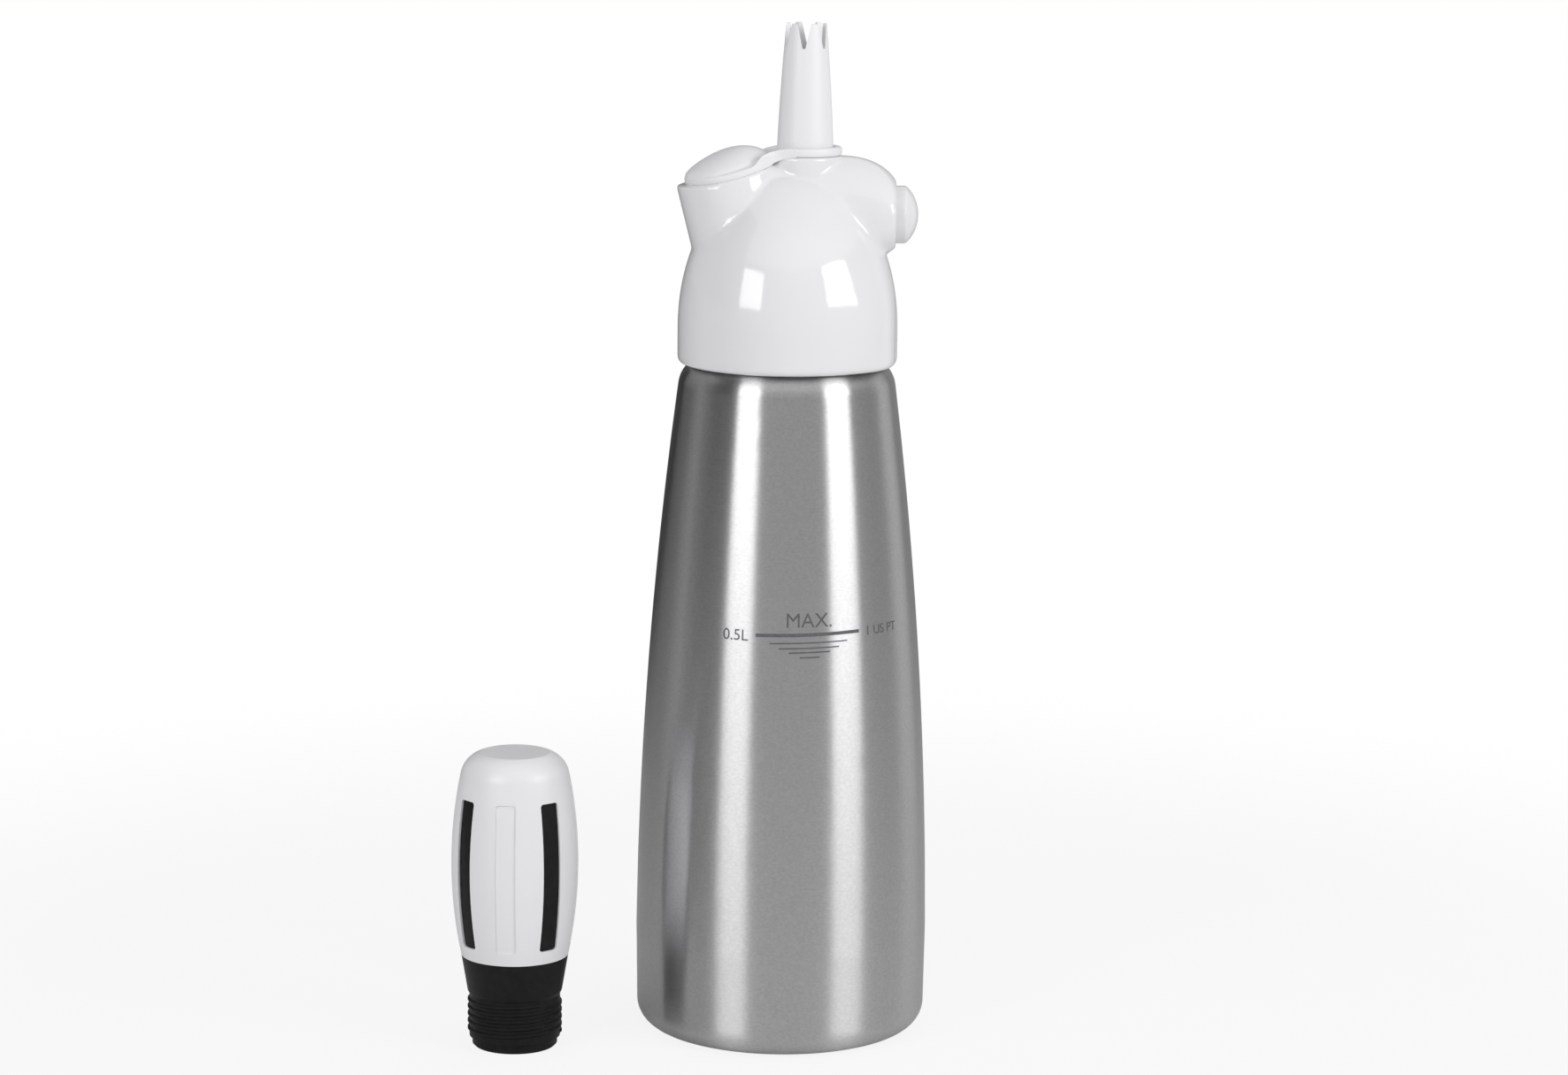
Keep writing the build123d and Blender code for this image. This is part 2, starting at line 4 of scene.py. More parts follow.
import bmesh
import bpy
import numpy as np
from mathutils import Matrix, Quaternion, Vector


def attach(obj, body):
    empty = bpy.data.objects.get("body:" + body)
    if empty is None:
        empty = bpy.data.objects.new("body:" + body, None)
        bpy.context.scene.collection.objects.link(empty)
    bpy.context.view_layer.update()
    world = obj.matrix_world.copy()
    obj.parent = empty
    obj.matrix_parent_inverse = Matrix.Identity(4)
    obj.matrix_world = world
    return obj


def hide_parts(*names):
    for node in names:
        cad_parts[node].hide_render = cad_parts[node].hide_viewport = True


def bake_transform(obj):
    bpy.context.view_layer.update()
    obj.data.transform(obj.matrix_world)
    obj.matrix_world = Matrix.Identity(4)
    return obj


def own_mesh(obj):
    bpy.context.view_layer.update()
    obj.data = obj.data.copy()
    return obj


# Cream whipper and its charger holder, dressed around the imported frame.
# All lengths are metres, all angles degrees unless a name says otherwise.

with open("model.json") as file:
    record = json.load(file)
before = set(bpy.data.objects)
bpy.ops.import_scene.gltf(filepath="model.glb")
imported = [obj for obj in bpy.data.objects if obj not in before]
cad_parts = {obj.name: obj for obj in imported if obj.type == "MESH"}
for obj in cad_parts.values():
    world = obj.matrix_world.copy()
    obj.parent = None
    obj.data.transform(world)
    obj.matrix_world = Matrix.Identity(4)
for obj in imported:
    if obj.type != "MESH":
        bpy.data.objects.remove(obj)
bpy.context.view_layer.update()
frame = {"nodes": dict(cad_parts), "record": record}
nodes = frame["nodes"]

mm = 0.001

# Camera
camera_distance = 1.197
camera_height = 0.348
camera_aim_height = 0.136
camera_side = -0.0003
camera_roll = 0.65
camera_lens = 102.43  # in millimetres, as the sensor
camera_sensor = 36
camera_clip_start = 0.05

# Studio
floor_radius = 0.5
floor_clear_radius = 0.2  # inside it the floor shows its own shading
floor_fade_end = 0.96  # share of its radius at which all is white
floor_white_share = 0.86  # how much of the floor is plain white for the camera
floor_grey = 0.70
floor_roughness = 0.6
surround_radius = 2.5
surround_bottom = -1.3
surround_top = 1.6
surround_grey = 0.215
surround_greys = [
    # azimuth from the front, right is positive, and the grey there
    (-180, 0.10),
    (-140, 0.03),
    (-118, 0.02),
    (-98, 0.30),
    (-80, 0.12),
    (-55, 0.20),
    (-30, surround_grey),
    (40, surround_grey),
    (90, 0.22),
    (105, 0.26),
    (118, 0.60),
    (130, 0.60),
    (142, 0.28),
    (180, 0.30),
]
tall_wall_start = 185  # the wall is taller between these azimuths, counted from 0 to 360
tall_wall_end = 250
tall_wall_top = 4.5
tall_wall_bottom = -3.0
card_radius = 2.4
card_bottom = 0.35
card_top = 3.5
cards = [
    # name, azimuths of its two ends, grey
    ("dark_card", -97, -57, 0.02),
    ("light_card", -142, -104, 0.34),
]
ambient_strength = 0.57
ambient_slope = 0.18  # brighter to the right
box_distance = 1.0
box_aim_height = 0.2
box_radiance = 6.7
boxes = [
    # name, azimuth, elevation, width, height
    ("box_left", -40, 16.2, 0.42, 0.34),
    ("box_right", 55.5, 18, 0.46, 0.37),
]

# Meshes and materials
crease_angle = 30  # edges sharper than this stay crisp
weld_distance = 1e-7  # corners nearer than this become one
field_low = 0.3  # the part of a noise field over which a surface varies
field_high = 0.7

# Head
head_voxel = 0.42 * mm
valley_steps = 44
head_first_smooth_steps = 2
head_smooth_steps = 4
ceiling_clear_height = 208 * mm
button_bore_radius = 7.81 * mm
bore_clearance = 0.4 * mm  # round the bores, where the skin stays as it is
nose_start = 12.0 * mm
nose_length = 16.9 * mm
nose_runout = 2.0 * mm
nose_power = 2.5
nose_half_width = 12.0 * mm
nose_end_radius = 8.8 * mm
seat_clear_radius = 13.5 * mm
seat_clear_height = 230.0 * mm
valve_height = 224.6 * mm

# Push button, lengths along the valve
button_radius = 7.75 * mm
button_start = 17.6 * mm
button_tip = 34.8 * mm
button_dome = 3.6 * mm
button_dome_power = 1.3  # 2 is an ellipse, less is flatter towards the rim
button_inner_radius = 6.15 * mm
button_floor = 29.8 * mm
hub_radius = 3.0 * mm
hub_start = 23.6 * mm
stem_hole_radius = 1.33 * mm
stem_end = 29.4 * mm

# Charger inlet
inlet_x = -15.2 * mm
inlet_height = 235.6 * mm
inlet_tilt = 15.6
inlet_rim_radius = 14.15 * mm
inlet_rim_shift = 1.4 * mm  # the boss's outline to the left of the socket's axis
inlet_rim_round = 0.6 * mm
rim_rise = 0.25 * mm  # of the rim at its left end
rim_dip = 0.85 * mm  # of the rim at its front and back
socket_radius = 12.95 * mm

# Strap and dust cap
seat_height = 240.4 * mm
outlet_x = 4.2 * mm
ring_radius = 9.9 * mm
ring_hole_radius = 7.8 * mm
ring_thickness = 2.4 * mm
hinge_start_x = -3.9 * mm  # where the hinge starts; the valleys left of it are filled
cap_cut_x = -4.6 * mm
cap_radius = 13.1 * mm
cap_sink = 0.25 * mm  # of the cap into the rim it lies on
cap_band = 1.6 * mm
dome_shift = -1.2 * mm
dome_length = 11.45 * mm
dome_width = 12.0 * mm
dome_height = 6.5 * mm
dome_skew = 1.05 * mm  # of the dome towards the nozzle
cap_wall = 1.3 * mm
plug_radius = 12.1 * mm
plug_wall = 1.0 * mm
plug_depth = 2.0 * mm
rib_width = 1.3 * mm
web_drop = 1.9 * mm  # of the web's top under the ribs'
web_thickness = 0.8 * mm
strap_voxel = 0.22 * mm
strap_smooth_steps = 4
strap_fillet_start = -9.5 * mm
strap_valley_steps = 14

# Charger holder
holder_x = -72.0 * mm
holder_y = -25.5 * mm
grip_angle = -5.5
slot_count = 4
grip_arc = [
    # radius, height at the grip's foot, belly and shoulder
    (14.5 * mm, 25.4 * mm),
    (17.1 * mm, 53.2 * mm),
    (14.6 * mm, 75.5 * mm),
]
slot_width = 5.5 * mm
slot_bottom = 29.1 * mm
slot_top = 69.8 * mm
slot_corner = 0.9 * mm
slot_clearance = 0.04 * mm
pad_recess = 0.6 * mm  # of the pads below the grip's outside
pad_root = 1.8 * mm
pad_across = (-1, -0.6, -0.2, 0.2, 0.6, 1)  # its outer corners, in half widths

# Fill mark on the bottle
mark_proud = 0.03 * mm
mark_centre_angle = 10.8
mark_tilt = 1.0  # of the lines, up to the right
mark_height = 115.9 * mm


def lerp(start, end, share):
    return start + (end - start) * share


# ---------------------------------------------------------------- materials


def new_material(name, colour, roughness, metallic=0.0):
    """Principled material with its plain values."""
    made = bpy.data.materials.new(name)
    made.use_nodes = True
    shader = shader_of(made)
    shader.inputs["Base Color"].default_value = (*colour, 1.0)
    shader.inputs["Roughness"].default_value = roughness
    shader.inputs["Metallic"].default_value = metallic
    return made


def shader_of(made):
    return made.node_tree.nodes["Principled BSDF"]


def feed(tree, socket, value):
    """Socket set to a number, or linked to another node's output."""
    if isinstance(value, bpy.types.NodeSocket):
        tree.links.new(value, socket)
    else:
        socket.default_value = value


def math_output(tree, operation, *values):
    """Output of a Math node fed with numbers or other outputs."""
    node = tree.nodes.new("ShaderNodeMath")
    node.operation = operation
    for socket, value in zip(node.inputs, values):
        feed(tree, socket, value)
    return node.outputs["Value"]


def mapped(tree, value, source, target, interpolation="LINEAR"):
    """Output that carries a value from the source range to the target range."""
    node = tree.nodes.new("ShaderNodeMapRange")
    node.interpolation_type = interpolation
    names = ("Value", "From Min", "From Max", "To Min", "To Max")
    for name, given in zip(names, (value, *source, *target)):
        feed(tree, node.inputs[name], given)
    return node.outputs["Result"]


def noise_field(made, frequency, detail=3.0, stretch=(1.0, 1.0, 1.0)):
    """Noise in the piece's own coordinates, frequency in cycles per metre."""
    tree = made.node_tree
    place = tree.nodes.new("ShaderNodeTexCoord")
    scale = tree.nodes.new("ShaderNodeMapping")
    noise = tree.nodes.new("ShaderNodeTexNoise")
    scale.inputs["Scale"].default_value = stretch
    noise.inputs["Scale"].default_value = frequency
    noise.inputs["Detail"].default_value = detail
    tree.links.new(place.outputs["Object"], scale.inputs["Vector"])
    tree.links.new(scale.outputs["Vector"], noise.inputs["Vector"])
    return noise.outputs["Fac"]


def vary_colour(made, field, dark, light):
    """Base colour that wanders between two colours with a field."""
    tree = made.node_tree
    ramp = tree.nodes.new("ShaderNodeValToRGB")
    dark_stop, light_stop = ramp.color_ramp.elements
    dark_stop.position = field_low
    dark_stop.color = (*dark, 1.0)
    light_stop.position = field_high
    light_stop.color = (*light, 1.0)
    tree.links.new(field, ramp.inputs["Fac"])
    tree.links.new(ramp.outputs["Color"], shader_of(made).inputs["Base Color"])


def vary_roughness(made, field, low, high):
    tree = made.node_tree
    roughness = mapped(tree, field, (field_low, field_high), (low, high))
    tree.links.new(roughness, shader_of(made).inputs["Roughness"])


def bump(made, field, depth, strength=1.0):
    """Relief of that depth in metres, on top of any bump already there."""
    tree = made.node_tree
    node = tree.nodes.new("ShaderNodeBump")
    normal = shader_of(made).inputs["Normal"]
    node.inputs["Strength"].default_value = strength
    node.inputs["Distance"].default_value = depth
    tree.links.new(field, node.inputs["Height"])
    if normal.is_linked:
        tree.links.new(normal.links[0].from_socket, node.inputs["Normal"])
    tree.links.new(node.outputs["Normal"], normal)


def brushed_steel():
    """Steel brushed around the bottle: fine lines, glints spread upright."""
    made = new_material("brushed_steel", (0.60, 0.60, 0.605), roughness=0.33, metallic=1.0)
    tree = made.node_tree
    shader = shader_of(made)
    shader.inputs["Anisotropic"].default_value = 1.0
    shader.inputs["Anisotropic Rotation"].default_value = 0.25
    tangent = tree.nodes.new("ShaderNodeTangent")
    tangent.direction_type = "RADIAL"
    tangent.axis = "Z"
    tree.links.new(tangent.outputs["Tangent"], shader.inputs["Tangent"])
    fine = noise_field(made, frequency=40.0, detail=4.0, stretch=(1.0, 1.0, 90.0))
    coarse = noise_field(made, frequency=14.0, detail=3.0, stretch=(1.0, 1.0, 60.0))
    grain = noise_field(made, frequency=1100.0, detail=2.0, stretch=(1.0, 1.0, 1.6))
    vary_colour(made, grain, dark=(0.56, 0.56, 0.565), light=(0.64, 0.64, 0.645))
    vary_roughness(made, coarse, low=0.32, high=0.34)
    bump(made, fine, depth=0.015 * mm, strength=0.3)
    return made


def bright_steel():
    """Turned and polished steel of the stem, the pin and the spring."""
    made = new_material("bright_steel", (0.66, 0.66, 0.67), roughness=0.18, metallic=1.0)
    turned = noise_field(made, frequency=900.0, detail=2.0)
    vary_roughness(made, turned, low=0.12, high=0.26)
    return made


def brass_bush():
    made = new_material("brass_bush", (0.72, 0.55, 0.26), roughness=0.28, metallic=1.0)
    turned = noise_field(made, frequency=700.0, detail=2.0)
    vary_roughness(made, turned, low=0.22, high=0.36)
    return made


def moulded_plastic(name, colour, roughness, grain):
    """Plastic whose surface keeps a trace of the mould."""
    dark_share = 0.985
    smooth_share = 0.9
    rough_share = 1.1
    made = new_material(name, colour, roughness)
    tint = noise_field(made, frequency=60.0, detail=2.0)
    vary_colour(made, tint, [channel * dark_share for channel in colour], colour)
    skin = noise_field(made, frequency=260.0, detail=3.0)
    vary_roughness(made, skin, low=roughness * smooth_share, high=roughness * rough_share)
    fine = noise_field(made, frequency=2600.0, detail=2.0)
    bump(made, fine, depth=grain, strength=0.5)
    return made


def black_plastic():
    """Black moulding with a fine matt grain."""
    made = new_material("black_plastic", (0.006, 0.006, 0.0065), roughness=0.42)
    shader_of(made).inputs["Specular IOR Level"].default_value = 0.22
    tint = noise_field(made, frequency=500.0, detail=4.0)
    vary_colour(made, tint, dark=(0.004, 0.004, 0.0045), light=(0.008, 0.008, 0.0085))
    grain = noise_field(made, frequency=4200.0, detail=3.0)
    vary_roughness(made, grain, low=0.36, high=0.50)
    bump(made, grain, depth=0.03 * mm, strength=0.6)
    return made


def rubber(name, colour):
    dark_share = 0.9
    made = new_material(name, colour, roughness=0.62)
    field = noise_field(made, frequency=1200.0, detail=3.0)
    vary_colour(made, field, [channel * dark_share for channel in colour], colour)
    bump(made, field, depth=0.02 * mm, strength=0.5)
    return made


def print_ink():
    """Dark grey print of the fill mark, a little uneven."""
    made = new_material("print_ink", (0.10, 0.10, 0.105), roughness=0.55)
    field = noise_field(made, frequency=1800.0, detail=3.0)
    vary_colour(made, field, dark=(0.085, 0.085, 0.09), light=(0.13, 0.13, 0.135))
    return made


# ------------------------------------------------------------- mesh helpers


def piece_from(name, made_mesh, material):
    piece = bpy.data.objects.new(name, made_mesh)
    bpy.context.scene.collection.objects.link(piece)
    made_mesh.materials.clear()
    made_mesh.materials.append(material)
    return piece


def smooth_by_angle(made_mesh):
    """Smooth shading with the sharper edges kept crisp."""
    made_mesh.shade_smooth()
    made_mesh.set_sharp_from_angle(angle=math.radians(crease_angle))


def mesh_of(shape, name):
    """The shape as a mesh; the shape itself is freed."""
    made = bpy.data.meshes.new(name)
    shape.to_mesh(made)
    shape.free()
    return made


def applied(piece):
    """The piece's mesh with its modifiers applied, as a new mesh."""
    graph = bpy.context.evaluated_depsgraph_get()
    made_mesh = bpy.data.meshes.new_from_object(piece.evaluated_get(graph))
    piece.modifiers.clear()
    return made_mesh


def remeshed(made_mesh, voxel):
    """A closed skin of even quads round everything in the mesh."""
    work = bpy.data.objects.new("remesh_work", made_mesh)
    bpy.context.scene.collection.objects.link(work)
    modifier = work.modifiers.new("voxels", "REMESH")
    modifier.mode = "VOXEL"
    modifier.voxel_size = voxel
    made = applied(work)
    bpy.data.objects.remove(work)
    return made


def without(made_mesh, other_mesh):
    """The mesh without the space the other takes."""
    work = bpy.data.objects.new("cut_work", made_mesh)
    other = bpy.data.objects.new("cut_other", other_mesh)
    for made in (work, other):
        bpy.context.scene.collection.objects.link(made)
    modifier = work.modifiers.new("cut", "BOOLEAN")
    modifier.operation = "DIFFERENCE"
    modifier.solver = "EXACT"
    modifier.object = other
    made = applied(work)
    bpy.data.objects.remove(work)
    bpy.data.objects.remove(other)
    return made


def vertex_places(made_mesh):
    places = np.empty(len(made_mesh.vertices) * 3)
    made_mesh.vertices.foreach_get("co", places)
    return places.reshape(-1, 3)


def move_vertices(made_mesh, places):
    made_mesh.vertices.foreach_set("co", places.ravel())
    made_mesh.update()


def neighbour_pull(made_mesh, places):
    """From each vertex to the mean of the vertices beside it."""
    ends = np.empty(len(made_mesh.edges) * 2, dtype=np.int64)
    made_mesh.edges.foreach_get("vertices", ends)
    ends = ends.reshape(-1, 2)
    count = len(places)
    near = np.bincount(ends.ravel(), minlength=count)
    mean = np.empty_like(places)
    for axis in range(3):
        sums = np.bincount(ends[:, 0], places[ends[:, 1], axis], count)
        sums += np.bincount(ends[:, 1], places[ends[:, 0], axis], count)
        mean[:, axis] = sums / near
    return mean - places


def smoothed(made_mesh, steps):
    """Vertices moved towards their neighbours' mean and back, so the size stays."""
    forward = 0.5
    back = -0.53
    places = vertex_places(made_mesh)
    for _ in range(steps):
        places += forward * neighbour_pull(made_mesh, places)
        places += back * neighbour_pull(made_mesh, places)
        places += forward * neighbour_pull(made_mesh, places)
    move_vertices(made_mesh, places)


def vertex_normals(made_mesh):
    normals = np.empty(len(made_mesh.vertices) * 3)
    made_mesh.vertices.foreach_get("normal", normals)
    return normals.reshape(-1, 3)


def fill_valleys(made_mesh, steps, shares):
    """Inner corners rounded out, each vertex by its own share."""
    step_share = 0.8
    places = vertex_places(made_mesh)
    for _ in range(steps):
        normals = vertex_normals(made_mesh)
        pull = neighbour_pull(made_mesh, places)
        rise = np.clip((pull * normals).sum(axis=1), 0, None) * shares
        places += step_share * rise[:, None] * normals
        move_vertices(made_mesh, places)


def joined(*meshes):
    """Several meshes in one, as loose parts."""
    shape = bmesh.new()
    for made_mesh in meshes:
        shape.from_mesh(made_mesh)
    return mesh_of(shape, "joined")


def add_bands(shape, rings, closed=True):
    """Faces between each ring of corners and the next."""
    for here, after in zip(rings, rings[1:]):
        count = len(here)
        for index in range(count if closed else count - 1):
            following = (index + 1) % count
            shape.faces.new((here[index], after[index], after[following], here[following]))


def lathed(outline, place, steps=96):
    """Closed ring or solid turned about Z from (radius, height) points."""
    shape = bmesh.new()
    rings = []
    for step in range(steps):
        turn = 2 * math.pi * step / steps
        side = Vector((math.cos(turn), math.sin(turn), 0))
        points = [side * radius + Vector((0, 0, height)) for radius, height in outline]
        rings.append([shape.verts.new(place @ point) for point in points])
    add_bands(shape, rings + rings[:1])
    bmesh.ops.remove_doubles(shape, verts=shape.verts, dist=weld_distance)
    bmesh.ops.recalc_face_normals(shape, faces=shape.faces)
    return mesh_of(shape, "lathed")


def strip(sections):
    """Closed bar through sections of the same number of corners."""
    shape = bmesh.new()
    rings = [[shape.verts.new(corner) for corner in section] for section in sections]
    add_bands(shape, rings)
    shape.faces.new(rings[0])
    shape.faces.new(rings[-1])
    bmesh.ops.recalc_face_normals(shape, faces=shape.faces)
    return mesh_of(shape, "strip")


# -------------------------------------------------------------------- head


def inlet_frame():
    """Inlet's own frame: X along the rim to the right, Z out of the socket."""
    turn = Matrix.Rotation(-math.radians(inlet_tilt), 4, "Y")
    return Matrix.Translation((inlet_x, 0, inlet_height)) @ turn


def in_frame(places, frame_matrix):
    """Coordinates of world places in a frame, as three rows."""
    inverse = np.array(frame_matrix.inverted())
    local = places @ inverse[:3, :3].T + inverse[:3, 3]
    return local.T


def round_inlet_rim(made_mesh):
    """Outer edge of the inlet's rim rounded, fading out where the head hides it."""
    full_angle = 70.0
    end_angle = 118.0
    least_share = 0.01
    least_reach = 1e-9  # so that nothing is divided by zero
    place = inlet_frame()
    places = vertex_places(made_mesh)
    along, across, up = in_frame(places, place)
    from_centre = along + inlet_rim_shift
    reach = np.hypot(from_centre, across)
    angle = np.degrees(np.abs(np.arctan2(across, -from_centre)))
    share = np.clip((end_angle - angle) / (end_angle - full_angle), least_share, 1)
    size = inlet_rim_round * share
    out = reach - (inlet_rim_radius - size)
    above = up + size
    distance = np.hypot(out, above)
    near = (out > 0) & (above > 0) & (distance > size) & (distance < 2 * inlet_rim_round)
    scale = np.where(near, size / np.maximum(distance, least_reach), 1)
    new_reach = np.where(near, inlet_rim_radius - size + out * scale, reach)
    new_up = np.where(near, -size + above * scale, up)
    stretch = new_reach / np.maximum(reach, least_reach)
    new_along = from_centre * stretch - inlet_rim_shift
    new_across = across * stretch
    matrix = np.array(place)
    moved = np.column_stack((new_along, new_across, new_up)) @ matrix[:3, :3].T
    moved += matrix[:3, 3]
    move_vertices(made_mesh, np.where(near[:, None], moved, places))


def rim_saddle(along, across):
    """How far the rim lies above its plane: up at its left end, down at front and back."""
    rise = rim_rise * np.minimum(along / socket_radius, 0) ** 2
    return rise - rim_dip * (across / socket_radius) ** 2


def bend_inlet_rim(made_mesh):
    """Rim of the inlet bent to its saddle, fading down the boss."""
    fade_depth = 7 * mm
    neck_start = 9.5 * mm
    neck_end = 11.5 * mm
    reach_limit = 1.1 * inlet_rim_radius
    up_limit = 0.5 * mm
    place = inlet_frame()
    places = vertex_places(made_mesh)
    along, across, up = in_frame(places, place)
    reach = np.hypot(along + inlet_rim_shift, across)
    share = np.clip(1 + up / fade_depth, 0, 1)
    share *= np.clip((neck_end - along) / (neck_end - neck_start), 0, 1)
    share = np.where((reach < reach_limit) & (up < up_limit), share, 0)
    rise = rim_saddle(along, across) * share * share * (3 - 2 * share)
    lift = np.array(place)[:3, 2]
    move_vertices(made_mesh, places + rise[:, None] * lift)


def outer_valleys(made_mesh):
    """Shares to fill by: none in the bores, low down, in the middle and round the seat."""
    middle_half_width = 5 * mm
    barrel_start = 9 * mm
    inlet_amount = 0.2
    barrel_amount = 1.0
    places = vertex_places(made_mesh)
    along, across, _ = in_frame(places, inlet_frame())
    socket = (np.hypot(along, across) < socket_radius + bore_clearance) & (along < cap_radius)
    bore = np.hypot(places[:, 1], places[:, 2] - valve_height) < button_bore_radius + bore_clearance
    low = places[:, 2] < ceiling_clear_height
    middle = np.abs(places[:, 1]) < middle_half_width
    seat = np.hypot(places[:, 0] - outlet_x, places[:, 1]) < seat_clear_radius
    seat &= places[:, 2] > seat_clear_height
    amount = np.where(places[:, 0] < barrel_start, inlet_amount, barrel_amount)
    return np.where(socket | bore | low | middle | seat, 0.0, amount)


def square_nose(made_mesh):
    """Sides of the valve's nose kept full for longer than the solid's, seen from above."""
    square_power = 6.0
    places = vertex_places(made_mesh)
    run = np.clip(places[:, 0] - nose_start, 0, nose_length)
    full = nose_length + nose_runout
    end_share = (1 - (nose_length / full) ** nose_power) ** (1 / nose_power)
    share = (1 - (run / full) ** nose_power) ** (1 / nose_power)
    share = (share - end_share) / (1 - end_share)
    square_share = (1 - (run / nose_length) ** square_power) ** (1 / square_power)
    width = nose_end_radius + share * (nose_half_width - nose_end_radius)
    square_width = nose_end_radius + square_share * (nose_half_width - nose_end_radius)
    reach = np.hypot(places[:, 1], places[:, 2] - valve_height)
    outside = reach > button_bore_radius + bore_clearance
    outside &= places[:, 0] > nose_start
    places[:, 1] *= np.where(outside, square_width / width, 1.0)
    move_vertices(made_mesh, places)


def rim_backing():
    """Thicker wall behind the inlet's rim, hidden under the dust cap."""
    plug_gap = 0.1 * mm
    inner_radius = plug_radius + plug_gap
    low = -3.2 * mm
    high = -0.3 * mm
    outline = [(inner_radius, low), (cap_radius, low), (cap_radius, high), (inner_radius, high)]
    return lathed(outline, inlet_frame(), steps=120)


def head_shell(material):
    """The head with its creases run together as a moulding has them."""
    housing = nodes["head_housing"].data.copy()
    skin = remeshed(joined(housing, rim_backing()), head_voxel)
    square_nose(skin)
    smoothed(skin, head_first_smooth_steps)
    fill_valleys(skin, valley_steps, outer_valleys(skin))
    round_inlet_rim(skin)
    bend_inlet_rim(skin)
    smoothed(skin, head_smooth_steps)
    skin.shade_smooth()
    piece = piece_from("head_shell", skin, material)
    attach(piece, "head")
    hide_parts("head_housing")


# --------------------------------------------------------- cap and its strap


def clamped(value):
    return max(0.0, min(1.0, value))


def along_table(table, x):
    """Height at a place, between the (place, height) pairs of a table."""
    for (low_x, low), (high_x, high) in zip(table, table[1:]):
        if x <= high_x:
            share = max(0.0, (x - low_x) / (high_x - low_x))
            return lerp(low, high, share)
    return table[-1][1]


def dome_point(share, turn):
    """Point of the dome, a share of the way from its middle to its edge."""
    side_edge = 2.2 * mm
    front_edge = cap_band + 0.1 * mm
    round_share = 0.55
    bowl_share = 0.45
    skew_fade = 0.75
    edge = lerp(side_edge, front_edge, math.sin(turn) ** 2)
    fall = round_share * (1 - math.sqrt(max(0.0, 1 - share**2))) + bowl_share * share**2
    toward = share * math.cos(turn)
    skew = dome_skew * toward * (1 - skew_fade * share**2)
    x = dome_shift + dome_length * toward
    y = dome_width * share * math.sin(turn)
    return Vector((x, y, lerp(dome_height, edge, fall) + skew))


def cap_profile(turn):
    """Points of the cap's half section in one direction, from its top to its inside."""
    dome_steps = 14
    inside_steps = 8
    inside_reach = 0.9  # share of the dome that is hollow
    inside_lowest = 0.3 * mm
    corner = 0.3 * mm
    plug_fade_start = 0.55  # cosine of the direction where the plug starts to run out
    plug_fade_length = 0.15
    side = Vector((math.cos(turn), math.sin(turn), 0))
    up = Vector((0, 0, 1))
    points = []
    for step in range(dome_steps + 1):
        points.append(dome_point(math.sin(math.pi / 2 * step / dome_steps), turn))
    points.append(side * (cap_radius - corner) + up * cap_band)
    points.append(side * cap_radius + up * (cap_band - corner))
    plug_share = 1 - clamped((math.cos(turn) - plug_fade_start) / plug_fade_length)
    depth = cap_sink + plug_depth * plug_share
    points.append(side * cap_radius - up * cap_sink)
    points.append(side * plug_radius - up * cap_sink)
    points.append(side * plug_radius - up * depth)
    points.append(side * (plug_radius - plug_wall) - up * depth)
    points.append(side * (plug_radius - plug_wall) - up * cap_sink)
    for step in range(inside_steps, -1, -1):
        share = inside_reach * math.sin(math.pi / 2 * step / inside_steps)
        inside = dome_point(share, turn)
        inside.z = max(inside_lowest, inside.z - cap_wall)
        points.append(inside)
    for point in points:
        point.z += float(rim_saddle(point.x, point.y))
    return points


def cap_solid():
    """Dust cap, cut straight where the strap begins."""
    steps = 160
    place = inlet_frame()
    shape = bmesh.new()
    rings = []
    for step in range(steps):
        points = cap_profile(2 * math.pi * step / steps)
        rings.append([shape.verts.new(place @ point) for point in points])
    add_bands(shape, rings + rings[:1], closed=False)
    bmesh.ops.remove_doubles(shape, verts=shape.verts, dist=weld_distance)
    cut = bmesh.ops.bisect_plane(
        shape,
        geom=shape.verts[:] + shape.edges[:] + shape.faces[:],
        plane_co=(cap_cut_x, 0, 0),
        plane_no=(1, 0, 0),
        clear_outer=True,
    )
    rim = [item for item in cut["geom_cut"] if isinstance(item, bmesh.types.BMEdge)]
    bmesh.ops.triangle_fill(shape, use_beauty=True, edges=rim)
    bmesh.ops.recalc_face_normals(shape, faces=shape.faces)
    return mesh_of(shape, "cap")


# Heights along the strap, as pairs of X and Z.
rib_tops = [
    (-12.2 * mm, 237.3 * mm),
    (-10.1 * mm, 237.9 * mm),
    (-9.0 * mm, 238.7 * mm),
    (-8.1 * mm, 240.0 * mm),
    (-7.3 * mm, 240.9 * mm),
    (-5.45 * mm, 241.7 * mm),
    (-3.07 * mm, 242.3 * mm),
    (-0.7 * mm, 242.65 * mm),
    (1.7 * mm, 242.75 * mm),
]
rib_bottoms = [
    (-12.2 * mm, 235.8 * mm),
    (-10.1 * mm, 236.3 * mm),
    (-7.8 * mm, 236.9 * mm),
    (-5.4 * mm, 237.8 * mm),
    (-3.9 * mm, 238.8 * mm),
    (-3.0 * mm, 239.25 * mm),
    (-0.6 * mm, 239.9 * mm),
    (1.7 * mm, 240.3 * mm),
]
# Outer edge of the front rib, as pairs of X and how far it lies from the middle.
rib_outline = [
    (-12.2 * mm, 12.75 * mm),
    (-9.5 * mm, 11.9 * mm),
    (-7.6 * mm, 10.75 * mm),
    (-6.2 * mm, 9.6 * mm),
    (-5.0 * mm, 8.7 * mm),
    (-3.8 * mm, 8.2 * mm),
    (-2.6 * mm, 8.2 * mm),
    (-1.2 * mm, 8.6 * mm),
    (1.7 * mm, 9.6 * mm),
]
# Places along X of the sections through the space between the ribs.
pocket_places = (-9 * mm, -5 * mm, -3.4 * mm, -1.6 * mm)


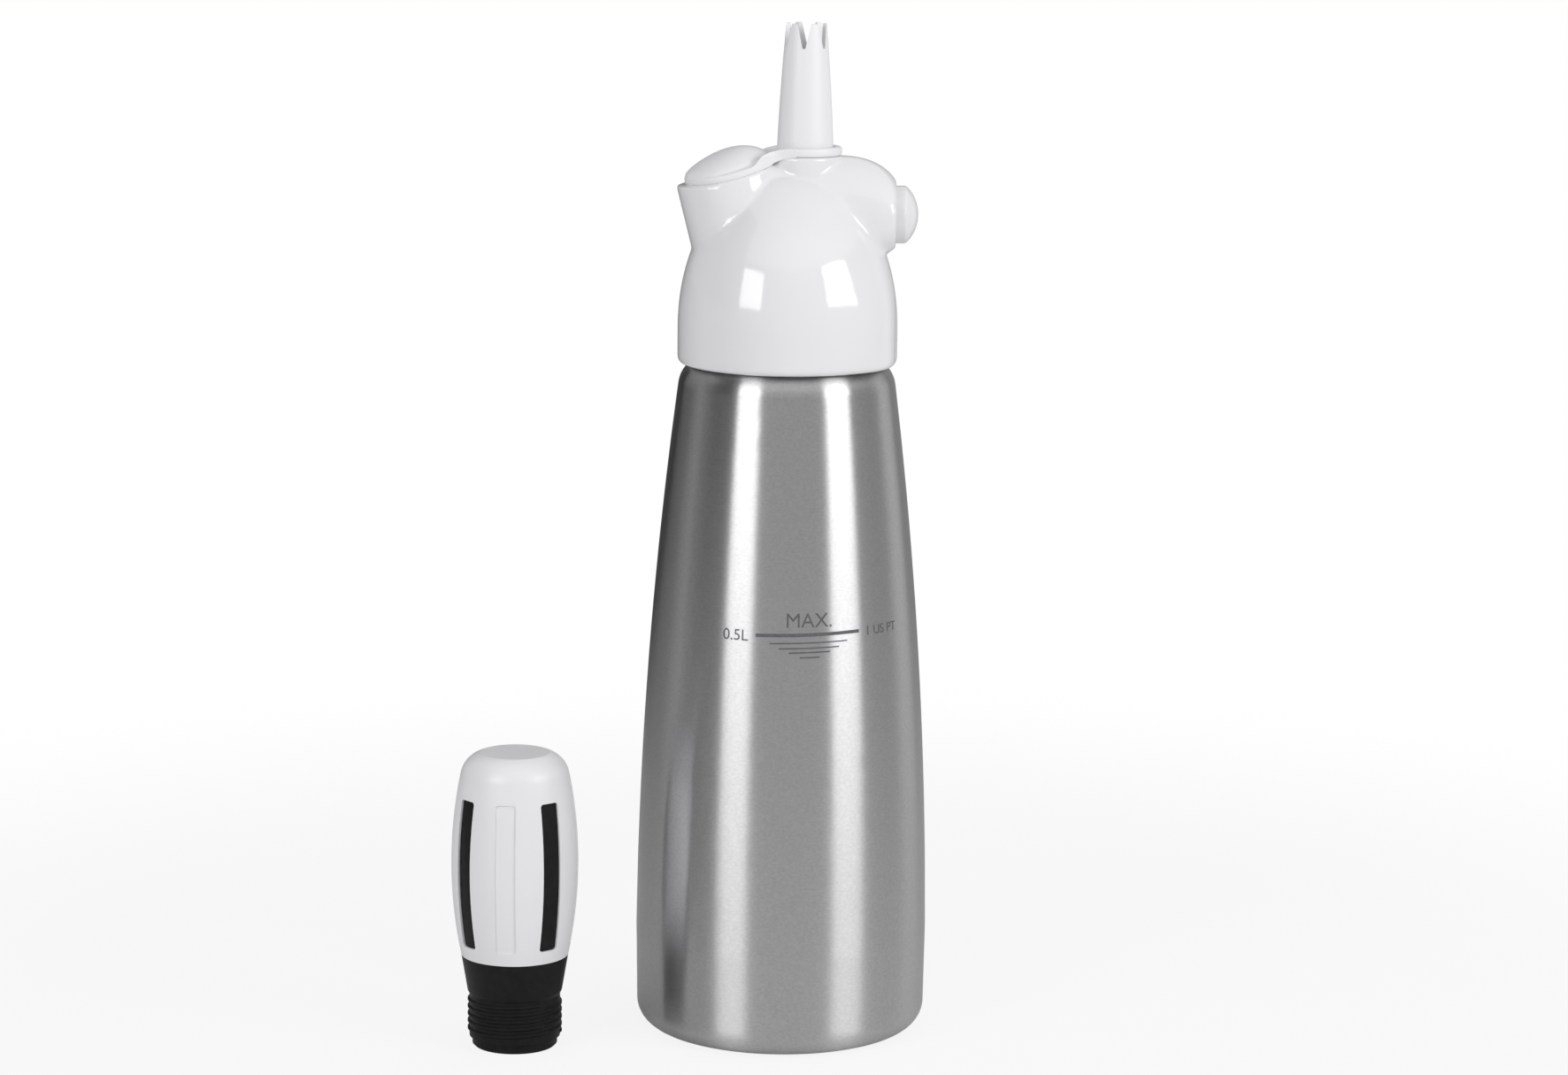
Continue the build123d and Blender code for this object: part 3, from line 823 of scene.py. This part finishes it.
def box_section(x, first_y, second_y, low, high):
    """Upright rectangle at a place along X, as four corners."""
    corners = ((first_y, low), (second_y, low), (second_y, high), (first_y, high))
    return [Vector((x, y, z)) for y, z in corners]


def strap_rib(side):
    """Raised edge of the strap at the front (side -1) or the back (side 1)."""
    steps = 40
    low_x = rib_outline[0][0]
    high_x = rib_outline[-1][0]
    sections = []
    for step in range(steps + 1):
        x = lerp(low_x, high_x, step / steps)
        outer = along_table(rib_outline, x)
        top = along_table(rib_tops, x)
        bottom = along_table(rib_bottoms, x)
        sections.append(box_section(x, side * outer, side * (outer - rib_width), bottom, top))
    return strip(sections)


def strap_web():
    """Thin floor between the ribs, where the film hinge lies."""
    steps = 16
    hole_gap = 0.3 * mm
    overlap = 0.5 * mm
    low_x = -7.2 * mm
    high_x = outlet_x - ring_hole_radius - hole_gap
    sections = []
    for step in range(steps + 1):
        x = lerp(low_x, high_x, step / steps)
        half = along_table(rib_outline, x) - rib_width + overlap
        top = along_table(rib_tops, x) - web_drop
        sections.append(box_section(x, -half, half, top - web_thickness, top))
    return strip(sections)


def strap_ring():
    """Ring round the nozzle's foot, lower where the web runs into it."""
    corner = 0.45 * mm
    seat_gap = 0.02 * mm
    low = seat_height + seat_gap
    high = seat_height + ring_thickness
    outline = [
        (ring_hole_radius, low),
        (ring_radius - corner, low),
        (ring_radius, low + corner),
        (ring_radius, high - corner),
        (ring_radius - corner, high),
        (ring_hole_radius, high),
    ]
    ring = lathed(outline, Matrix.Translation((outlet_x, 0, 0)))
    return without(ring, web_pocket())


def web_pocket():
    """Space between the ribs, cut from the ring above the web."""
    low = seat_height + 0.6 * mm
    high = seat_height + 6 * mm
    sections = []
    for x in pocket_places:
        half = along_table(rib_outline, x) - rib_width
        sections.append(box_section(x, -half, half, low, high))
    return strip(sections)


def nozzle_clearance():
    """Room for the nozzle's foot, cut from the strap."""
    low = seat_height - 2 * mm
    high = seat_height + 5 * mm
    outline = [(0, low), (ring_hole_radius, low), (ring_hole_radius, high), (0, high)]
    return lathed(outline, Matrix.Translation((outlet_x, 0, 0)))


def cap_and_strap(material):
    """Dust cap, film hinge and strap in one moulding."""
    parts = [cap_solid(), strap_rib(-1), strap_rib(1), strap_web(), strap_ring()]
    skin = remeshed(joined(*parts), strap_voxel)
    places = vertex_places(skin)
    hinge_side = (places[:, 0] > strap_fillet_start) & (places[:, 0] < hinge_start_x)
    fill_valleys(skin, strap_valley_steps, np.where(hinge_side, 1.0, 0.0))
    skin = without(skin, nozzle_clearance())
    smoothed(skin, strap_smooth_steps)
    skin.shade_smooth()
    piece = piece_from("cap_and_strap", skin, material)
    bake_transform(piece)
    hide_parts("inlet_cap", "cap_strap")


# --------------------------------------------------------------- fill mark


def bottle_radius(height):
    """Outer radius of the bottle at a height, read from the frame."""
    level_digits = 5
    points = [vertex.co for vertex in nodes["bottle"].data.vertices]
    rings = {}
    for point in points:
        radius = math.hypot(point.x, point.y)
        level = round(point.z, level_digits)
        rings[level] = max(rings.get(level, 0.0), radius)
    levels = sorted(rings)
    below = max(level for level in levels if level <= height)
    above = min(level for level in levels if level >= height)
    if above == below:
        return rings[below]
    share = (height - below) / (above - below)
    return lerp(rings[below], rings[above], share)


def wrapped(made_mesh, centre_angle, base_height, low_radius, slope):
    """Flat drawing, x across and y up, laid round the bottle's front."""
    for vertex in made_mesh.vertices:
        across = vertex.co.x
        up = vertex.co.y
        radius = low_radius + slope * up + vertex.co.z
        turn = math.radians(centre_angle) + across / low_radius
        vertex.co = (
            radius * math.sin(turn),
            -radius * math.cos(turn),
            base_height + up,
        )
    return made_mesh


def flat_bar(half_width, low, high, proud):
    """Thin raised bar with many cuts across, ready to be wrapped."""
    cuts = 48
    shape = bmesh.new()
    bmesh.ops.create_cube(shape, size=1.0)
    for vertex in shape.verts:
        vertex.co.x *= 2 * half_width
        vertex.co.y = lerp(low, high, vertex.co.y + 0.5)
        vertex.co.z = lerp(-proud, proud, vertex.co.z + 0.5)
    lengthways = []
    for edge in shape.edges:
        start, end = edge.verts
        if abs(start.co.x - end.co.x) > half_width:
            lengthways.append(edge)
    bmesh.ops.subdivide_edges(shape, edges=lengthways, cuts=cuts, use_grid_fill=True)
    return mesh_of(shape, "bar")


def flat_text(words, cap_height, proud):
    """Raised letters, centred on x = 0 and standing on y = 0."""
    cap_share = 0.73  # height of a capital over the font's size
    curve = bpy.data.curves.new("words", "FONT")
    curve.body = words
    curve.align_x = "CENTER"
    curve.size = cap_height / cap_share
    curve.extrude = proud
    curve.resolution_u = 6
    work = bpy.data.objects.new("words", curve)
    bpy.context.scene.collection.objects.link(work)
    graph = bpy.context.evaluated_depsgraph_get()
    made = bpy.data.meshes.new_from_object(work.evaluated_get(graph))
    bpy.data.objects.remove(work)
    return made


def fill_mark(material):
    """Narrowing lines under a broad one, with the volume beside it."""
    slope_step = 5 * mm
    radius = bottle_radius(mark_height)
    slope = (bottle_radius(mark_height + slope_step) - radius) / slope_step
    lines = [
        # half width, height over the main line, half thickness
        (14.4 * mm, 0.15 * mm, 0.45 * mm),
        (10.6 * mm, -2.0 * mm, 0.17 * mm),
        (8.2 * mm, -3.4 * mm, 0.17 * mm),
        (5.6 * mm, -4.55 * mm, 0.17 * mm),
        (2.7 * mm, -5.9 * mm, 0.17 * mm),
    ]
    words = [
        # text, cap height, angle, height of its foot over the main line
        ("MAX.", 4.0 * mm, mark_centre_angle, 2.15 * mm),
        ("0.5L", 3.1 * mm, -21.1, -1.7 * mm),
        ("1 US PT", 2.6 * mm, 46.5, -1.0 * mm),
    ]
    made = []
    for half_width, height, half_thickness in lines:
        bar = flat_bar(half_width, height - half_thickness, height + half_thickness, mark_proud)
        bar.transform(Matrix.Rotation(math.radians(mark_tilt), 4, "Z"))
        made.append(wrapped(bar, mark_centre_angle, mark_height, radius, slope))
    for text, cap_height, angle, foot in words:
        letters = flat_text(text, cap_height, mark_proud)
        letters.transform(Matrix.Translation((0, foot, 0)))
        made.append(wrapped(letters, angle, mark_height, radius, slope))
    piece = piece_from("fill_mark", joined(*made), material)
    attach(piece, "bottle")


# ------------------------------------------------------------------ holder


def holder_radius(height):
    """Outer radius of the white grip, on one arc through its foot, belly and shoulder."""
    (foot_r, foot_z), (belly_r, belly_z), (top_r, top_z) = grip_arc
    # The circle's centre follows from the three points and their squares.
    foot, belly, top = (r * r + z * z for r, z in grip_arc)
    across = foot_r * (belly_z - top_z) + belly_r * (top_z - foot_z) + top_r * (foot_z - belly_z)
    centre_r = foot * (belly_z - top_z) + belly * (top_z - foot_z) + top * (foot_z - belly_z)
    centre_z = foot * (top_r - belly_r) + belly * (foot_r - top_r) + top * (belly_r - foot_r)
    centre_r /= 2 * across
    centre_z /= 2 * across
    reach = math.hypot(belly_r - centre_r, belly_z - centre_z)
    return centre_r + math.sqrt(reach**2 - (height - centre_z) ** 2)


def slot_half_width(height):
    """Half the width of a rounded slot at a height, less a hair's clearance."""
    edge = min(height - slot_bottom, slot_top - height)
    inward = max(slot_corner - edge, 0)
    round_off = slot_corner - math.sqrt(max(slot_corner**2 - inward**2, 0))
    return slot_width / 2 - round_off - slot_clearance


def slot_pad(angle):
    """Black pad that nearly fills one slot of the grip."""
    steps = 48
    turn = Matrix.Rotation(math.radians(angle), 4, "Z")
    place = Matrix.Translation((holder_x, holder_y, 0)) @ turn
    low = slot_bottom + slot_clearance
    high = slot_top - slot_clearance
    sections = []
    for step in range(steps + 1):
        height = lerp(low, high, (1 - math.cos(math.pi * step / steps)) / 2)
        half = slot_half_width(height)
        outer = holder_radius(height) - pad_recess
        inner = holder_radius(height) - pad_root
        section = []
        for reach, sides in ((outer, pad_across), (inner, (1, -1))):
            for side in sides:
                across = half * side
                corner = Vector((across, -math.sqrt(reach**2 - across**2), height))
                section.append(place @ corner)
        sections.append(section)
    return strip(sections)


def holder_sleeve(material):
    """Black core of the holder with the pads that rise into the grip's slots."""
    made_mesh = nodes["holder_sleeve"].data.copy()
    made_mesh.transform(nodes["holder_sleeve"].matrix_world)
    first_slot = grip_angle + 180 / slot_count
    pads = [slot_pad(first_slot + 360 * index / slot_count) for index in range(slot_count)]
    piece = piece_from("sleeve", joined(made_mesh, *pads), material)
    smooth_by_angle(piece.data)
    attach(piece, "holder")
    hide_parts("holder_sleeve")


# ------------------------------------------------------------------ button


def button_profile():
    """Half section of the button as (radius, place along the valve) points."""
    steps = 40
    points = [(button_radius, button_start)]
    for step in range(steps):
        turn = 0.5 * math.pi * (1 - step / steps)
        rise = button_dome * math.cos(turn) ** (2 / button_dome_power)
        points.append((button_radius * math.sin(turn), button_tip - button_dome + rise))
    points += [
        (0, button_tip),
        (0, stem_end),
        (stem_hole_radius, stem_end),
        (stem_hole_radius, hub_start),
        (hub_radius, hub_start),
        (hub_radius, button_floor),
        (button_inner_radius, button_floor),
        (button_inner_radius, button_start),
    ]
    return points


def push_button(material):
    """Domed cup with a hub for the valve stem."""
    along_valve = Matrix.Rotation(math.radians(90), 4, "Y")
    place = Matrix.Translation((0, 0, valve_height)) @ along_valve
    piece = piece_from("button", lathed(button_profile(), place), material)
    smooth_by_angle(piece.data)
    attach(piece, "button")
    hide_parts("push_button")


def return_spring(material):
    """Spring between the valve and the button, carried with the head."""
    node = nodes["button_spring"]
    made_mesh = node.data.copy()
    made_mesh.transform(node.matrix_world)
    piece = piece_from("return_spring", made_mesh, material)
    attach(piece, "head")
    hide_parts("button_spring")
    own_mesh(piece)


# ------------------------------------------------------------------ studio


def floor():
    """Pale disc that keeps the shadow and fades into the white round it."""
    shape = bmesh.new()
    bmesh.ops.create_circle(shape, cap_ends=True, segments=128, radius=floor_radius)
    made = new_material("floor", (floor_grey, floor_grey, floor_grey), floor_roughness)
    tree = made.node_tree
    place = tree.nodes.new("ShaderNodeTexCoord")
    length = tree.nodes.new("ShaderNodeVectorMath")
    length.operation = "LENGTH"
    tree.links.new(place.outputs["Object"], length.inputs[0])
    radii = (floor_clear_radius, floor_radius * floor_fade_end)
    shares = (floor_white_share, 1.0)
    fade = mapped(tree, length.outputs["Value"], radii, shares, interpolation="SMOOTHSTEP")
    path = tree.nodes.new("ShaderNodeLightPath")
    share = math_output(tree, "MULTIPLY", path.outputs["Is Camera Ray"], fade)
    white = tree.nodes.new("ShaderNodeEmission")
    mix = tree.nodes.new("ShaderNodeMixShader")
    tree.links.new(share, mix.inputs["Fac"])
    tree.links.new(shader_of(made).outputs["BSDF"], mix.inputs[1])
    tree.links.new(white.outputs["Emission"], mix.inputs[2])
    tree.links.new(mix.outputs["Shader"], tree.nodes["Material Output"].inputs["Surface"])
    disc = piece_from("floor", mesh_of(shape, "floor"), made)


def upright_sheet(name, radius, edges, closed=False):
    """Curved sheet round the studio, through upright edges of (turn, bottom, top)."""
    shape = bmesh.new()
    rings = []
    for turn, bottom, top in edges:
        x = radius * math.sin(turn)
        y = -radius * math.cos(turn)
        rings.append((shape.verts.new((x, y, bottom)), shape.verts.new((x, y, top))))
    if closed:
        rings.append(rings[0])
    add_bands(shape, rings, closed=False)
    return mesh_of(shape, name)


def glowing_material(name):
    """Material that only gives light, and the node that sets its colour."""
    made = bpy.data.materials.new(name)
    made.use_nodes = True
    tree = made.node_tree
    tree.nodes.remove(tree.nodes["Principled BSDF"])
    light = tree.nodes.new("ShaderNodeEmission")
    tree.links.new(light.outputs["Emission"], tree.nodes["Material Output"].inputs["Surface"])
    return made, light


def seen_in_reflections_only(piece):
    piece.visible_camera = False
    piece.visible_diffuse = False
    piece.visible_shadow = False
    piece.visible_transmission = False


def surround_material():
    """Grey that changes with the azimuth round the studio."""
    made, light = glowing_material("surround")
    tree = made.node_tree
    place = tree.nodes.new("ShaderNodeTexCoord")
    split = tree.nodes.new("ShaderNodeSeparateXYZ")
    tree.links.new(place.outputs["Object"], split.inputs["Vector"])
    front = math_output(tree, "MULTIPLY", split.outputs["Y"], -1.0)
    turn = math_output(tree, "ARCTAN2", split.outputs["X"], front)
    share = mapped(tree, turn, (-math.pi, math.pi), (0.0, 1.0))
    ramp = tree.nodes.new("ShaderNodeValToRGB")
    stops = ramp.color_ramp.elements
    while len(stops) < len(surround_greys):
        stops.new(0.5)
    # The stops are put in their order first, as a moved stop can change its number.
    for stop, (azimuth, _) in zip(stops, surround_greys):
        stop.position = (azimuth + 180) / 360
    for stop, (_, grey) in zip(stops, surround_greys):
        stop.color = (grey, grey, grey, 1.0)
    tree.links.new(share, ramp.inputs["Fac"])
    tree.links.new(ramp.outputs["Color"], light.inputs["Color"])
    return made


def surround():
    """Grey wall of the studio, seen only in reflections, darker at the left."""
    steps = 180
    edges = []
    for step in range(steps):
        turn = 2 * math.pi * step / steps
        if tall_wall_start < 360 * step / steps < tall_wall_end:
            edges.append((turn, tall_wall_bottom, tall_wall_top))
        else:
            edges.append((turn, surround_bottom, surround_top))
    made_mesh = upright_sheet("surround", surround_radius, edges, closed=True)
    wall = piece_from("surround", made_mesh, surround_material())
    seen_in_reflections_only(wall)


def card(name, start, end, grey):
    """Curved card just inside the wall, seen only in reflections."""
    steps = 24
    edges = []
    for step in range(steps + 1):
        turn = math.radians(lerp(start, end, step / steps))
        edges.append((turn, card_bottom, card_top))
    made, light = glowing_material(name)
    light.inputs["Color"].default_value = (grey, grey, grey, 1.0)
    made_card = piece_from(name, upright_sheet(name, card_radius, edges), made)
    seen_in_reflections_only(made_card)


def soft_box(name, azimuth, elevation, width, height):
    """Rectangular lamp that faces the head from a direction."""
    turn = math.radians(azimuth)
    rise = math.radians(elevation)
    level = math.cos(rise)
    away = Vector((math.sin(turn) * level, -math.cos(turn) * level, math.sin(rise)))
    lamp = bpy.data.lights.new(name, "AREA")
    lamp.shape = "RECTANGLE"
    lamp.size = width
    lamp.size_y = height
    lamp.energy = box_radiance * math.pi * width * height
    made = bpy.data.objects.new(name, lamp)
    made.location = Vector((0, 0, box_aim_height)) + away * box_distance
    made.rotation_euler = away.to_track_quat("Z", "Y").to_euler()
    bpy.context.scene.collection.objects.link(made)


def surroundings():
    """White for the camera and in reflections, a softer level as light."""
    world = bpy.data.worlds.new("studio")
    bpy.context.scene.world = world
    world.use_nodes = True
    tree = world.node_tree
    back = tree.nodes["Background"]
    back.inputs["Color"].default_value = (1.0, 1.0, 1.0, 1.0)
    rays = tree.nodes.new("ShaderNodeLightPath").outputs
    seen = math_output(tree, "MAXIMUM", rays["Is Camera Ray"], rays["Is Glossy Ray"])
    seen = math_output(tree, "MAXIMUM", seen, rays["Is Transmission Ray"])
    direction = tree.nodes.new("ShaderNodeTexCoord")
    split = tree.nodes.new("ShaderNodeSeparateXYZ")
    tree.links.new(direction.outputs["Generated"], split.inputs["Vector"])
    ambient = math_output(tree, "MULTIPLY_ADD", split.outputs["X"], ambient_slope, ambient_strength)
    level = mapped(tree, seen, (0.0, 1.0), (ambient, 1.0))
    tree.links.new(level, back.inputs["Strength"])


def camera():
    place = Vector((camera_side, -camera_distance, camera_height))
    aim = Vector((camera_side, 0, camera_aim_height))
    made = bpy.data.objects.new("camera", bpy.data.cameras.new("camera"))
    made.data.lens = camera_lens
    made.data.sensor_width = camera_sensor
    made.data.clip_start = camera_clip_start
    turn = (aim - place).to_track_quat("-Z", "Y")
    roll = Quaternion((0, 0, 1), math.radians(camera_roll))
    made.location = place
    made.rotation_euler = (turn @ roll).to_euler()
    bpy.context.scene.collection.objects.link(made)
    bpy.context.scene.camera = made


# ------------------------------------------------------------------- build

mouldings = [
    # name, colour, roughness, depth of the grain
    ("white_gloss", (0.80, 0.80, 0.815), 0.09, 0.002 * mm),
    ("white_satin", (0.82, 0.82, 0.835), 0.42, 0.003 * mm),
    ("white_grip", (0.80, 0.80, 0.82), 0.36, 0.01 * mm),
    ("valve_plastic", (0.62, 0.63, 0.65), 0.35, 0.01 * mm),
]
finishes = {name: moulded_plastic(name, *values) for name, *values in mouldings}
finishes |= {
    "brushed_steel": brushed_steel(),
    "black_plastic": black_plastic(),
    "silicone": rubber("silicone", (0.74, 0.74, 0.72)),
    "seal_rubber": rubber("seal_rubber", (0.03, 0.03, 0.03)),
    "bright_steel": bright_steel(),
    "brass_bush": brass_bush(),
}
for subpart in frame["record"]["subparts"]:
    node = nodes[subpart["node"]]
    node.data.materials.clear()
    node.data.materials.append(finishes[subpart["material_slot"]])
    smooth_by_angle(node.data)

head_shell(finishes["white_gloss"])
cap_and_strap(finishes["white_satin"])
fill_mark(print_ink())
push_button(finishes["white_gloss"])
holder_sleeve(finishes["black_plastic"])
return_spring(finishes["bright_steel"])

floor()
surround()
for name, start, end, grey in cards:
    card(name, start, end, grey)
surroundings()
for name, azimuth, elevation, width, height in boxes:
    soft_box(name, azimuth, elevation, width, height)
camera()

scene = bpy.context.scene
scene.view_settings.view_transform = "Standard"
